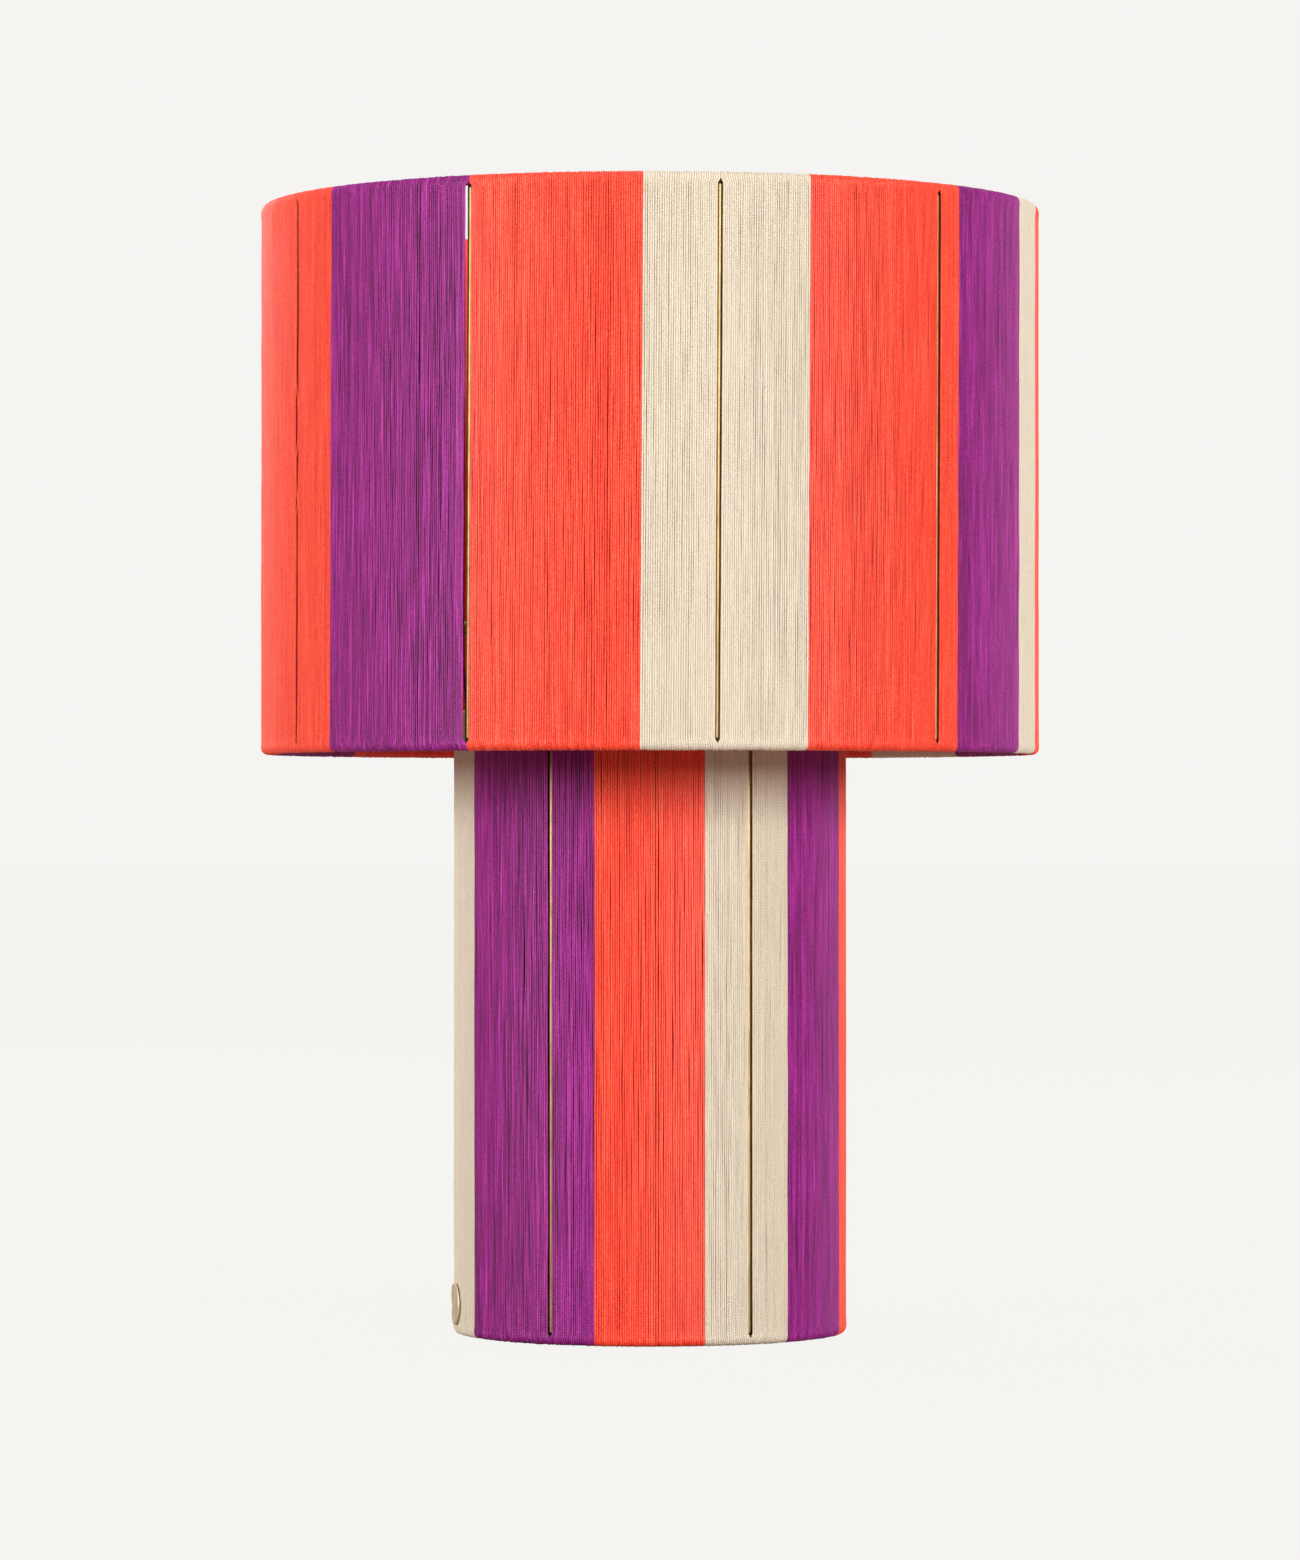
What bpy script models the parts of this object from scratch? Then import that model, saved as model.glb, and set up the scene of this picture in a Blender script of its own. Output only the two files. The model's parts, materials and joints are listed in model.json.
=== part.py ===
"""A table lamp: a drum shade over a cylindrical base, both brass wire frames wound with bands of yarn.

Metres, +Z up. The origin is on the lamp's axis, on the surface that it stands on. Angles round the lamp are
in degrees from its front, which faces -Y, and grow towards its right side, +X.
"""

import math
from collections import namedtuple

import bmesh
import bpy
from mathutils import Matrix, Vector

GAP = 0.0003  # left between pieces that touch
SHARP_ANGLE = math.radians(35)

# The wire frames and the yarn round them
YARN_LAYER = 0.0010  # from the ring wire to the outside of the yarn
RING_WIRE = 0.0030
UPRIGHT_WIRE = 0.0020
UPRIGHT_OUTSET = 0.0005  # puts the uprights' outer side level with the rings'
SLOT_WIDTH = 0.0034  # where the yarn parts over an upright
SEE_THROUGH_UPRIGHT = "shade_upright_10"  # at this one, the yarn parts on the inside too
ARM_ROOM = 0.0004  # round an arm or a tab that goes through the yarn
RING_INSET = YARN_LAYER + RING_WIRE / 2

# A winding's bands are each colour and the angle where it starts. It ends where the next one starts.
# The twist is how far the upper ring is turned against the lower one, and the step is one facet, in degrees.
Winding = namedtuple("Winding", "name diameter bottom top uprights first_upright twist step bands")
SHADE_BANDS = (
    ("coral", -98.4),
    ("purple", -52.6),
    ("coral", -26.4),
    ("cream", -1.2),
    ("coral", 22.9),
    ("purple", 49.9),
    ("cream", 68.7),
    ("coral", 79.2),
    ("purple", 98.5),
    ("cream", 123.6),
    ("coral", 142.3),
    ("purple", 162.0),
    ("coral", 202.0),
    ("purple", 234.4),
)
BASE_BANDS = (
    ("cream", -104.0),
    ("purple", -62.3),
    ("coral", -16.2),
    ("cream", 15.9),
    ("purple", 43.5),
    ("coral", 73.0),
    ("cream", 112.0),
    ("purple", 138.0),
    ("coral", 172.0),
    ("purple", 218.0),
)
SHADE = Winding("shade", 0.300, 0.223, 0.434, 10, 9.6, 0.45, 5.0, SHADE_BANDS)
BASE = Winding("base", 0.1516, 0.0004, 0.240, 6, 30.0, 0.0, 7.5, BASE_BANDS)

# The carrier in the base, and the E27 lampholder on its threaded nipple
CARRIER_Z = 0.2320
CARRIER_THICKNESS = 0.0030
CARRIER_HUB_RADIUS = 0.0150
CARRIER_ARMS = (30.0, 150.0, 270.0)
CARRIER_ARM_WIDTH = 0.0050
NIPPLE_RADIUS = 0.0050
NIPPLE_BORE = 0.0035
NIPPLE_BELOW = 0.0080
NIPPLE_ABOVE = 0.0110
LOCKNUT_THICKNESS = 0.0030
LOCKNUT_ACROSS_FLATS = 0.0140
HOLDER_CAP_RADIUS = 0.0195
HOLDER_CAP_HEIGHT = 0.0250
HOLDER_WALL = 0.0020
HOLDER_DOME = 0.0090  # radius of the cap's rounded foot
HOLDER_BODY_RADIUS = 0.0200
HOLDER_BODY_HEIGHT = 0.0360
HOLDER_SPIGOT = 0.0060  # how deep the body's lower end sits in the cap
HOLDER_BORE = 0.0136
HOLDER_BEVEL = 0.0010
INSULATOR_RADIUS = 0.0132
INSULATOR_HEIGHT = 0.0110
CONTACT_RADIUS = 0.0040
CONTACT_HEIGHT = 0.0015

# The bulb, a 35 mm candle on an E27 cap
BULB_LENGTH = 0.1000
BULB_CAP_LENGTH = 0.0265
BULB_CAP_RADIUS = 0.0131
BULB_RADIUS = 0.0175
BULB_WALL = 0.0010

# What carries the shade: a hub on the holder's thread, between two threaded rings
SHADE_HUB_Z = 0.2720
SHADE_HUB_THICKNESS = 0.0020
SHADE_HUB_BORE = 0.0210
SHADE_HUB_RADIUS = 0.0300
SHADE_ARM_WIRE = 0.0030
SHADE_ARM_COUNT = 5
CLAMP_FLANGE_RADIUS = 0.0285
CLAMP_FLANGE_THICKNESS = 0.0020
CLAMP_COLLAR_RADIUS = 0.0235
CLAMP_HEIGHT = 0.0070

# The weight in the foot of the base, the felt under it, the cord's bushing and the maker's disc
WEIGHT_RADIUS = 0.0695
WEIGHT_BOTTOM = 0.0034
WEIGHT_THICKNESS = 0.0060
WEIGHT_BEVEL = 0.0005
WEIGHT_TAB_WIDTH = 0.0080
WEIGHT_TAB_THICKNESS = 0.0030
WEIGHT_TAB_Z = 0.0065
PAD_RADIUS = 0.0670
BUSHING_ANGLE = 180.0
BUSHING_Z = 0.0200
BUSHING_BORE = 0.0035
BUSHING_BARREL = 0.0044
BUSHING_FLANGE = 0.0060
BUSHING_FLANGE_THICKNESS = 0.0015
BUSHING_SLACK = 0.0006  # the winding curves away behind the inner flange
DISC_ANGLE = -79.0
DISC_Z = 0.0123
DISC_RADIUS = 0.0080
DISC_THICKNESS = 0.0007
DISC_FACE = 0.0005  # thickness inside the raised rim
DISC_RIM = 0.0010

# Facets
RIM_FACETS = 4
WIRE_SIDES = 6
UPRIGHT_SIDES = 8
SMALL_TURNED_SIDES = 24
LARGE_TURNED_SIDES = 48


def clear_scene():
    for thing in list(bpy.data.objects):
        bpy.data.objects.remove(thing, do_unlink=True)


def material(name, colour, roughness, metallic=0.0):
    made = bpy.data.materials.new(name)
    made.use_nodes = True
    shader = made.node_tree.nodes["Principled BSDF"]
    shader.inputs["Base Color"].default_value = (*colour, 1.0)
    shader.inputs["Roughness"].default_value = roughness
    shader.inputs["Metallic"].default_value = metallic
    return made


def axis_empty(name, height):
    """A body's parent: an empty on the axis that the body turns about or slides along."""
    empty = bpy.data.objects.new(name, None)
    empty.empty_display_size = height
    bpy.context.scene.collection.objects.link(empty)
    return empty


def mesh_of(name, shape, look):
    bmesh.ops.recalc_face_normals(shape, faces=shape.faces)
    mesh = bpy.data.meshes.new(name)
    shape.to_mesh(mesh)
    shape.free()
    mesh.shade_smooth()
    mesh.set_sharp_from_angle(angle=SHARP_ANGLE)
    if look:
        mesh.materials.append(look)
    return mesh


def piece(name, mesh, body, location=(0, 0, 0), rotation=(0, 0, 0)):
    made = bpy.data.objects.new(name, mesh)
    made.location = location
    made.rotation_euler = rotation
    made.parent = body
    bpy.context.scene.collection.objects.link(made)
    return made


def helper(name, shape, body, location=(0, 0, 0), rotation=(0, 0, 0)):
    """A solid that only cuts or joins."""
    made = piece(name, mesh_of(name, shape, None), body, location, rotation)
    made.hide_render = True
    made.display_type = "WIRE"
    return made


def boolean(target, other, operation):
    modifier = target.modifiers.new(other.name, "BOOLEAN")
    modifier.operation = operation
    modifier.solver = "EXACT"
    modifier.object = other


def around(angle, radius, z):
    """The point at this angle and distance round the lamp's axis."""
    turn = math.radians(angle)
    return Vector((radius * math.sin(turn), -radius * math.cos(turn), z))


def turned(outline, sides, about="Z"):
    """A shape turned from (radius, height) points. The axis closes an outline that starts and ends on it."""
    shape = bmesh.new()
    points = [shape.verts.new((radius, 0, height)) for radius, height in outline]
    edges = [shape.edges.new(pair) for pair in zip(points, points[1:])]
    if outline[0][0] or outline[-1][0]:
        edges.append(shape.edges.new((points[-1], points[0])))
    bmesh.ops.spin(
        shape,
        geom=points + edges,
        axis=(0, 0, 1),
        cent=(0, 0, 0),
        angle=2 * math.pi,
        steps=sides,
        use_merge=True,
    )
    bmesh.ops.remove_doubles(shape, verts=shape.verts, dist=1e-6)
    if about == "-Y":
        bmesh.ops.rotate(shape, verts=shape.verts, matrix=Matrix.Rotation(math.pi / 2, 3, "X"))
    return shape


def arc(centre_radius, centre_height, radius, start, end, count):
    """Points along an arc of an outline, in degrees from outward, counter-clockwise."""
    turns = [math.radians(start + (end - start) * step / count) for step in range(count + 1)]
    return [(centre_radius + radius * math.cos(t), centre_height + radius * math.sin(t)) for t in turns]


def add_box(shape, low, high):
    made = bmesh.ops.create_cube(shape, size=1.0)["verts"]
    low, high = Vector(low), Vector(high)
    bmesh.ops.scale(shape, verts=made, vec=high - low)
    bmesh.ops.translate(shape, verts=made, vec=(low + high) / 2)
    return made


def turned_piece(name, outline, look, body, z=0.0, sides=SMALL_TURNED_SIDES):
    return piece(name, mesh_of(name, turned(outline, sides), look), body, (0, 0, z))


def racetrack(winding, half):
    """The outline round the wall between two ring wires: straight sides, and a half circle over each ring."""
    middle = winding.diameter / 2 - RING_INSET
    upper = arc(middle, winding.top - RING_INSET, half, 0, 180, RIM_FACETS)
    lower = arc(middle, winding.bottom + RING_INSET, half, 180, 360, RIM_FACETS)
    return upper + lower


def rings(winding, look, body):
    """The two rings of wire that the yarn is wound over."""
    outline = arc(winding.diameter / 2 - RING_INSET, 0, RING_WIRE / 2, 0, 360, WIRE_SIDES)[:-1]
    heights = {"upper": winding.top - RING_INSET, "lower": winding.bottom + RING_INSET}
    for place, z in heights.items():
        turned_piece(f"{winding.name}_{place}_ring", outline, look, body, z, round(360 / winding.step))


def upright_radius(winding):
    return winding.diameter / 2 - RING_INSET + UPRIGHT_OUTSET


def uprights(winding, look, body):
    """The rods between the two rings. Gives the cutters that part the yarn over them."""
    wire = UPRIGHT_WIRE / 2
    radius = upright_radius(winding)
    height = winding.top - winding.bottom
    length = height - 2 * (YARN_LAYER + RING_WIRE + GAP)
    lean = math.atan(radius * math.radians(winding.twist) / length)
    rod = bmesh.new()
    bmesh.ops.create_cone(
        rod, cap_ends=True, segments=UPRIGHT_SIDES, radius1=wire, radius2=wire, depth=length
    )
    mesh = mesh_of(f"{winding.name}_upright", rod, look)
    cutters = []
    for number in range(winding.uprights):
        name = f"{winding.name}_upright_{number + 1:02d}"
        angle = winding.first_upright + number * 360 / winding.uprights
        place = around(angle, radius, (winding.bottom + winding.top) / 2)
        turn = (0, lean, math.radians(angle))
        piece(name, mesh, body, place, turn)
        inwards = RING_WIRE + 2 * YARN_LAYER if name == SEE_THROUGH_UPRIGHT else wire
        half_height = height / 2 - RING_INSET - UPRIGHT_OUTSET
        slot = bmesh.new()
        add_box(
            slot,
            (-SLOT_WIDTH / 2, -2 * YARN_LAYER - wire, -half_height),
            (SLOT_WIDTH / 2, inwards, half_height),
        )
        cutters.append((angle, SLOT_WIDTH, helper(name + "_slot", slot, body, place, turn)))
    return cutters


def stations(start, end, step):
    """The angles where a band has a cross-section: its two ends, and the frame's facets between them."""
    first = math.floor(start / step) + 1
    last = math.ceil(end / step) - 1
    return [start] + [step * number for number in range(first, last + 1)] + [end]


def band(name, look, winding, start, end, body):
    """One colour's yarn as a hollow wall, which passes over both rings and has the uprights inside it."""
    trim = math.degrees(GAP / winding.diameter)
    outer = racetrack(winding, RING_INSET)
    inner = racetrack(winding, RING_WIRE / 2 + GAP)
    shape = bmesh.new()
    sections = []
    for angle in stations(start + trim, end - trim, winding.step):
        loops = [[shape.verts.new(around(angle, *point)) for point in loop] for loop in (outer, inner)]
        sections.append(loops)
    corners = [(i, (i + 1) % len(outer)) for i in range(len(outer))]
    for before, after in zip(sections, sections[1:]):
        for loop in (0, 1):
            for i, j in corners:
                shape.faces.new((before[loop][i], before[loop][j], after[loop][j], after[loop][i]))
    for outside, inside in (sections[0], sections[-1]):
        for i, j in corners:
            shape.faces.new((outside[i], outside[j], inside[j], inside[i]))
    return piece(name, mesh_of(name, shape, look), body)


def touches(angle, start, end, half_width):
    """Whether something this wide at this angle reaches into a band."""
    offset = (angle - start + half_width) % 360
    return offset < end - start + 2 * half_width


def wound_wall(winding, looks, cutters, body):
    """All the bands of one winding, each cut by what passes through it."""
    bands = winding.bands
    ends = [start for _, start in bands[1:]] + [bands[0][1] + 360]
    for number, ((colour, start), end) in enumerate(zip(bands, ends), 1):
        wall = band(f"{winding.name}_{colour}_yarn_{number:02d}", looks[colour], winding, start, end, body)
        for angle, width, cutter in cutters:
            if touches(angle, start, end, math.degrees(width / winding.diameter)):
                boolean(wall, cutter, "DIFFERENCE")


def arm_passage(name, winding, angle, z, width, height, body):
    """A cutter for the hole where an arm or a tab goes through the inner side of the winding."""
    inside = winding.diameter / 2 - 2 * RING_INSET
    cutter = bmesh.new()
    add_box(
        cutter,
        (-width / 2 - ARM_ROOM, -inside - YARN_LAYER - ARM_ROOM, z - height / 2 - ARM_ROOM),
        (width / 2 + ARM_ROOM, -inside + YARN_LAYER, z + height / 2 + ARM_ROOM),
    )
    return angle, width, helper(name, cutter, body, rotation=(0, 0, math.radians(angle)))


def ring_outline(bore, radius, thickness):
    half = thickness / 2
    return [(bore, -half), (radius, -half), (radius, half), (bore, half)]


def shade(looks, body):
    """The drum: two rings, leaning uprights, a hub on five arms, and the yarn wound over the rings."""
    brass = looks["brass"]
    rings(SHADE, brass, body)
    cutters = uprights(SHADE, brass, body)

    outline = ring_outline(SHADE_HUB_BORE, SHADE_HUB_RADIUS, SHADE_HUB_THICKNESS)
    hub = turned_piece("shade_spider", outline, brass, body, SHADE_HUB_Z, LARGE_TURNED_SIDES)
    wire = SHADE_ARM_WIRE / 2
    arm_start = CLAMP_FLANGE_RADIUS + 1.5 * GAP
    arm_end = upright_radius(SHADE) - UPRIGHT_WIRE / 2 - GAP
    lying = Matrix.Rotation(math.pi / 2, 4, "X")
    arms = bmesh.new()
    for number in range(SHADE_ARM_COUNT):
        angle = SHADE.first_upright + number * 360 / SHADE_ARM_COUNT
        place = Matrix.Translation(around(angle, (arm_start + arm_end) / 2, 0))
        bmesh.ops.create_cone(
            arms,
            cap_ends=True,
            segments=UPRIGHT_SIDES,
            radius1=wire,
            radius2=wire,
            depth=arm_end - arm_start,
            matrix=place @ Matrix.Rotation(math.radians(angle), 4, "Z") @ lying,
        )
        name = f"shade_arm_hole_{number + 1}"
        cutters.append(arm_passage(name, SHADE, angle, SHADE_HUB_Z, SHADE_ARM_WIRE, SHADE_ARM_WIRE, body))
    boolean(hub, helper("shade_arms", arms, body, (0, 0, SHADE_HUB_Z)), "UNION")
    wound_wall(SHADE, looks, cutters, body)


def bars_to_uprights(name, start, width, thickness, z, body):
    """Three flat bars that reach the base's uprights, to be joined to a hub or a plate."""
    end = upright_radius(BASE) - UPRIGHT_WIRE / 2 - GAP
    shape = bmesh.new()
    for angle in CARRIER_ARMS:
        bar = add_box(shape, (-width / 2, -end, -thickness / 2), (width / 2, -start, thickness / 2))
        bmesh.ops.rotate(shape, verts=bar, matrix=Matrix.Rotation(math.radians(angle), 3, "Z"))
    return helper(name, shape, body, (0, 0, z))


def carrier(looks, body):
    """The hub and three arms near the top of the base that the lampholder's nipple goes through."""
    outline = ring_outline(NIPPLE_RADIUS + GAP, CARRIER_HUB_RADIUS, CARRIER_THICKNESS)
    hub = turned_piece("holder_carrier", outline, looks["brass"], body, CARRIER_Z)
    start = CARRIER_HUB_RADIUS - CARRIER_THICKNESS
    bars = bars_to_uprights("carrier_arms", start, CARRIER_ARM_WIDTH, CARRIER_THICKNESS, CARRIER_Z, body)
    boolean(hub, bars, "UNION")


def weight_and_pad(looks, body):
    """The steel plate in the foot of the base, on three tabs, and the felt glued under it."""
    outline = [
        (0, 0),
        (WEIGHT_RADIUS - WEIGHT_BEVEL, 0),
        (WEIGHT_RADIUS, WEIGHT_BEVEL),
        (WEIGHT_RADIUS, WEIGHT_THICKNESS - WEIGHT_BEVEL),
        (WEIGHT_RADIUS - WEIGHT_BEVEL, WEIGHT_THICKNESS),
        (0, WEIGHT_THICKNESS),
    ]
    plate = turned_piece("weight_plate", outline, looks["steel"], body, WEIGHT_BOTTOM, LARGE_TURNED_SIDES)
    start = WEIGHT_RADIUS - WEIGHT_TAB_WIDTH
    tabs = bars_to_uprights("weight_tabs", start, WEIGHT_TAB_WIDTH, WEIGHT_TAB_THICKNESS, WEIGHT_TAB_Z, body)
    boolean(plate, tabs, "UNION")

    top = WEIGHT_BOTTOM - GAP
    outline = [(0, 0), (PAD_RADIUS, 0), (PAD_RADIUS, top), (0, top)]
    turned_piece("felt_pad", outline, looks["felt"], body, sides=LARGE_TURNED_SIDES)


def base(looks, body):
    """The drum that stands on the table, with what it carries at its top and holds in its foot."""
    rings(BASE, looks["brass"], body)
    cutters = uprights(BASE, looks["brass"], body)
    carrier(looks, body)
    weight_and_pad(looks, body)
    passages = (
        ("carrier_hole", CARRIER_Z, CARRIER_ARM_WIDTH, CARRIER_THICKNESS),
        ("weight_tab_hole", WEIGHT_TAB_Z, WEIGHT_TAB_WIDTH, WEIGHT_TAB_THICKNESS),
    )
    for number, angle in enumerate(CARRIER_ARMS, 1):
        for name, z, width, height in passages:
            cutters.append(arm_passage(f"{name}_{number}", BASE, angle, z, width, height, body))
    cutters.append(cord_bushing(looks, body))
    wound_wall(BASE, looks, cutters, body)
    maker_disc(looks, body)


def cord_bushing(looks, body):
    """The grommet that the mains cord would enter through, and the cutter for its hole in the yarn."""
    outside = BASE.diameter / 2 + GAP
    wall = 2 * RING_INSET + GAP + BUSHING_SLACK
    flange = BUSHING_FLANGE_THICKNESS
    outline = [
        (BUSHING_BORE, -wall - flange),
        (BUSHING_FLANGE, -wall - flange),
        (BUSHING_FLANGE, -wall),
        (BUSHING_BARREL, -wall),
        (BUSHING_BARREL, 0),
        (BUSHING_FLANGE, 0),
        (BUSHING_FLANGE, flange / 2),
        (BUSHING_FLANGE - flange / 2, flange),
        (BUSHING_BORE, flange),
    ]
    turn = (0, 0, math.radians(BUSHING_ANGLE))
    place = around(BUSHING_ANGLE, outside, BUSHING_Z)
    mesh = mesh_of("cord_bushing", turned(outline, SMALL_TURNED_SIDES, about="-Y"), looks["plastic"])
    piece("cord_bushing", mesh, body, place, turn)
    hole = BUSHING_BARREL + GAP
    outline = [(0, -2 * wall), (hole, -2 * wall), (hole, wall), (0, wall)]
    shape = turned(outline, SMALL_TURNED_SIDES, about="-Y")
    return BUSHING_ANGLE, 2 * hole, helper("bushing_hole", shape, body, place, turn)


def maker_disc(looks, body):
    """A plain brass disc near the foot, bent to the yarn, with a raised rim and nothing marked on it."""
    outline = [
        (0, 0),
        (DISC_RADIUS / 2, 0),
        (DISC_RADIUS, 0),
        (DISC_RADIUS, DISC_FACE),
        (DISC_RADIUS - DISC_THICKNESS + DISC_FACE, DISC_THICKNESS),
        (DISC_RADIUS - DISC_RIM, DISC_THICKNESS),
        (DISC_RADIUS - DISC_RIM, DISC_FACE),
        (DISC_RADIUS / 2, DISC_FACE),
        (0, DISC_FACE),
    ]
    shape = turned(outline, SMALL_TURNED_SIDES, about="-Y")
    bmesh.ops.triangulate(shape, faces=shape.faces)
    back = BASE.diameter / 2 + GAP
    for point in shape.verts:
        across, outwards, up = point.co.x, -point.co.y, point.co.z
        point.co = around(math.degrees(across / back), back + outwards, up)
    mesh = mesh_of("maker_disc", shape, looks["brass"])
    piece("maker_disc", mesh, body, (0, 0, DISC_Z), (0, 0, math.radians(DISC_ANGLE)))


def nipple_and_locknut(looks, body):
    """The hollow threaded tube through the carrier, and the nut that holds it from below."""
    outline = [
        (NIPPLE_BORE, -NIPPLE_BELOW),
        (NIPPLE_RADIUS, -NIPPLE_BELOW),
        (NIPPLE_RADIUS, NIPPLE_ABOVE),
        (NIPPLE_BORE, NIPPLE_ABOVE),
    ]
    turned_piece("threaded_nipple", outline, looks["brass"], body, CARRIER_Z)

    shape = bmesh.new()
    corner = LOCKNUT_ACROSS_FLATS / math.sqrt(3)
    bmesh.ops.create_cone(
        shape, cap_ends=True, segments=6, radius1=corner, radius2=corner, depth=LOCKNUT_THICKNESS
    )
    z = CARRIER_Z - CARRIER_THICKNESS / 2 - GAP - LOCKNUT_THICKNESS / 2
    nut = piece("nipple_locknut", mesh_of("nipple_locknut", shape, looks["steel"]), body, (0, 0, z))
    bore = ring_outline(0, NIPPLE_RADIUS + GAP, 2 * LOCKNUT_THICKNESS)
    boolean(nut, helper("locknut_bore", turned(bore, SMALL_TURNED_SIDES), body, (0, 0, z)), "DIFFERENCE")


def holder_cap(looks, body, z):
    """A cup with a rounded foot, screwed onto the nipple."""
    centre = HOLDER_CAP_RADIUS - HOLDER_DOME
    bore = NIPPLE_RADIUS + GAP
    outline = [(bore, 0)]
    outline += arc(centre, HOLDER_DOME, HOLDER_DOME, -90, 0, 4)
    outline += [(HOLDER_CAP_RADIUS - inwards, HOLDER_CAP_HEIGHT) for inwards in (0, HOLDER_WALL)]
    outline += arc(centre, HOLDER_DOME, HOLDER_DOME - HOLDER_WALL, 0, -90, 4)
    outline += [(bore, HOLDER_WALL)]
    turned_piece("holder_cap", outline, looks["brass"], body, z)


def holder_body(looks, body, z):
    """The threaded barrel, whose spigot sits in the cap."""
    spigot = HOLDER_CAP_RADIUS - HOLDER_WALL - GAP
    outline = [
        (HOLDER_BORE, -HOLDER_SPIGOT),
        (spigot, -HOLDER_SPIGOT),
        (spigot, 0),
        (HOLDER_BODY_RADIUS, 0),
        (HOLDER_BODY_RADIUS, HOLDER_BODY_HEIGHT - HOLDER_BEVEL),
        (HOLDER_BODY_RADIUS - HOLDER_BEVEL, HOLDER_BODY_HEIGHT),
        (HOLDER_BORE + HOLDER_BEVEL, HOLDER_BODY_HEIGHT),
        (HOLDER_BORE, HOLDER_BODY_HEIGHT - HOLDER_BEVEL),
    ]
    turned_piece("holder_body", outline, looks["brass"], body, z)


def lampholder(looks, body):
    """The cap, the body, and the insulator with its contact. Gives the height of the bulb's tip."""
    cap_z = CARRIER_Z + CARRIER_THICKNESS / 2 + GAP
    body_z = cap_z + HOLDER_CAP_HEIGHT + GAP
    holder_cap(looks, body, cap_z)
    holder_body(looks, body, body_z)

    insulator_z = body_z - HOLDER_SPIGOT - HOLDER_WALL
    outline = [(0, 0), (INSULATOR_RADIUS, 0), (INSULATOR_RADIUS, INSULATOR_HEIGHT), (0, INSULATOR_HEIGHT)]
    turned_piece("holder_insulator", outline, looks["ceramic"], body, insulator_z)

    contact_z = insulator_z + INSULATOR_HEIGHT + GAP
    slope = CONTACT_HEIGHT / 2
    outline = [
        (0, 0),
        (CONTACT_RADIUS, 0),
        (CONTACT_RADIUS, slope),
        (CONTACT_RADIUS - slope, CONTACT_HEIGHT),
        (0, CONTACT_HEIGHT),
    ]
    turned_piece("holder_contact", outline, looks["brass"], body, contact_z)
    return contact_z + CONTACT_HEIGHT + GAP


def clamp_ring(name, upwards, look, body):
    """A threaded ring with its flange against the hub and its collar away from it; upwards is 1 or -1."""
    bore = HOLDER_BODY_RADIUS + GAP
    flange = CLAMP_FLANGE_THICKNESS * upwards
    collar = CLAMP_HEIGHT * upwards
    outline = [
        (bore, 0),
        (CLAMP_FLANGE_RADIUS, 0),
        (CLAMP_FLANGE_RADIUS, flange),
        (CLAMP_COLLAR_RADIUS, flange),
        (CLAMP_COLLAR_RADIUS, collar),
        (bore, collar),
    ]
    turned_piece(name, outline, look, body, SHADE_HUB_Z + (SHADE_HUB_THICKNESS / 2 + GAP) * upwards)


def candle_outline(neck, widest, length):
    """From the neck up to the tip: out to the widest at two fifths of the length, then in like an egg."""
    rise = length * 0.4
    neck_steps = 4
    egg_steps = 6
    points = []
    for step in range(neck_steps + 1):
        share = step / neck_steps
        swell = (1 - math.cos(math.pi * share)) / 2
        points.append((neck + (widest - neck) * swell, rise * share))
    for step in range(1, egg_steps):
        turn = math.pi / 2 * step / egg_steps
        points.append((widest * math.cos(turn) ** 0.9, rise + (length - rise) * math.sin(turn)))
    points.append((0.0, length))
    return points


def bulb(looks, tip_z, body):
    """A candle bulb: its screw cap with the centre contact, and the opal glass, open into the cap."""
    radius = BULB_CAP_RADIUS
    neck = radius - BULB_WALL
    outline = [
        (0, 0),
        (0.0048, 0),
        (0.0055, 0.0015),
        (0.0085, 0.0035),
        (radius - 0.0008, 0.0055),
        (radius, 0.0070),
        (radius, BULB_CAP_LENGTH),
        (neck, BULB_CAP_LENGTH),
        (neck, 0.0080),
        (0, 0.0080),
    ]
    turned_piece("bulb_cap", outline, looks["nickel"], body, tip_z)

    glass_length = BULB_LENGTH - BULB_CAP_LENGTH - GAP
    outside = candle_outline(neck, BULB_RADIUS, glass_length)
    inside = candle_outline(neck - BULB_WALL, BULB_RADIUS - BULB_WALL, glass_length - BULB_WALL)
    turned_piece("bulb_glass", outside + inside[::-1], looks["opal"], body, tip_z + BULB_CAP_LENGTH + GAP)


def main():
    clear_scene()
    looks = {
        "coral": material("coral_yarn", (1.0, 0.10, 0.06), 0.85),
        "purple": material("purple_yarn", (0.30, 0.04, 0.22), 0.85),
        "cream": material("cream_yarn", (0.80, 0.71, 0.53), 0.85),
        "brass": material("brass", (0.78, 0.55, 0.22), 0.30, 1.0),
        "steel": material("zinc_plated_steel", (0.56, 0.57, 0.58), 0.40, 1.0),
        "nickel": material("nickel_plated_cap", (0.70, 0.69, 0.66), 0.30, 1.0),
        "ceramic": material("white_ceramic", (0.85, 0.83, 0.78), 0.35),
        "opal": material("opal_glass", (0.93, 0.92, 0.89), 0.20),
        "felt": material("black_felt", (0.03, 0.03, 0.03), 0.95),
        "plastic": material("clear_brown_plastic", (0.20, 0.11, 0.05), 0.45),
    }
    base_body = axis_empty("base_axis", BASE.top)
    base(looks, base_body)
    nipple_and_locknut(looks, base_body)
    bulb_tip = lampholder(looks, base_body)
    clamp_ring("support_ring", -1, looks["brass"], axis_empty("support_ring_axis", SHADE_HUB_Z))
    shade(looks, axis_empty("shade_axis", SHADE.top))
    clamp_ring("retaining_ring", 1, looks["brass"], axis_empty("retaining_ring_axis", SHADE_HUB_Z))
    bulb(looks, bulb_tip, axis_empty("bulb_axis", SHADE.top))


main()
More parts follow.
